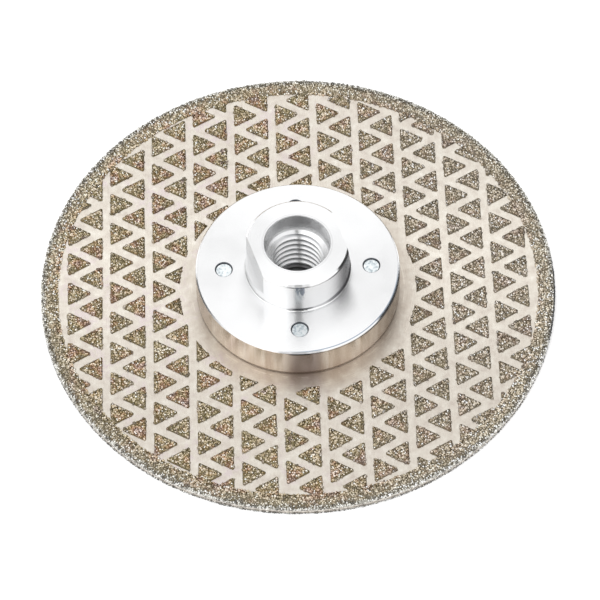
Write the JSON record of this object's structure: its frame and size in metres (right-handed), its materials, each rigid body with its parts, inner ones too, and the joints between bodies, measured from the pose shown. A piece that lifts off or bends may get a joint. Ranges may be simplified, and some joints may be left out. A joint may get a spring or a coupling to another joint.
{
  "type": "diamond grinding wheel",
  "caption": "Thin diamond-plated cutting and grinding disc with triangular grit deposits, a coated rim and a threaded aluminium hub flange.",
  "frame": {"origin": "on the spin axis, in the plane of the lower grit faces that the disc lies on", "axes": "+Z along the spin axis, from the grit side up through the hub and out of its threaded mouth; Y along the columns of triangles, X across them and through two of the four screws"},
  "size_m": [0.125, 0.125, 0.0212],
  "materials": {
    "plated_steel": "satin warm nickel plate on flat steel, faintly mottled",
    "diamond_grit": "coarse diamond grains in a grey nickel bond, sparkling and rough",
    "machined_aluminium": "bright fine-turned aluminium with sharp small chamfers",
    "zinc_steel": "bluish bright zinc plate"
  },
  "bodies": {
    "root": {"blade_core": "plated_steel", "rim_grit": "diamond_grit", "hub_flange": "machined_aluminium", "flange_screw_1": "zinc_steel", "flange_screw_2": "zinc_steel", "flange_screw_3": "zinc_steel", "flange_screw_4": "zinc_steel", "top_grit_column_01": "diamond_grit", "top_grit_column_02": "diamond_grit", "top_grit_column_03": "diamond_grit", "top_grit_column_04": "diamond_grit", "top_grit_column_05": "diamond_grit", "top_grit_column_06": "diamond_grit", "top_grit_column_07": "diamond_grit", "top_grit_column_08": "diamond_grit", "top_grit_column_09": "diamond_grit", "top_grit_column_10": "diamond_grit", "top_grit_column_11": "diamond_grit", "bottom_grit_column_01": "diamond_grit", "bottom_grit_column_02": "diamond_grit", "bottom_grit_column_03": "diamond_grit", "bottom_grit_column_04": "diamond_grit", "bottom_grit_column_05": "diamond_grit", "bottom_grit_column_06": "diamond_grit", "bottom_grit_column_07": "diamond_grit", "bottom_grit_column_08": "diamond_grit", "bottom_grit_column_09": "diamond_grit", "bottom_grit_column_10": "diamond_grit", "bottom_grit_column_11": "diamond_grit"}
  },
  "joints": []
}
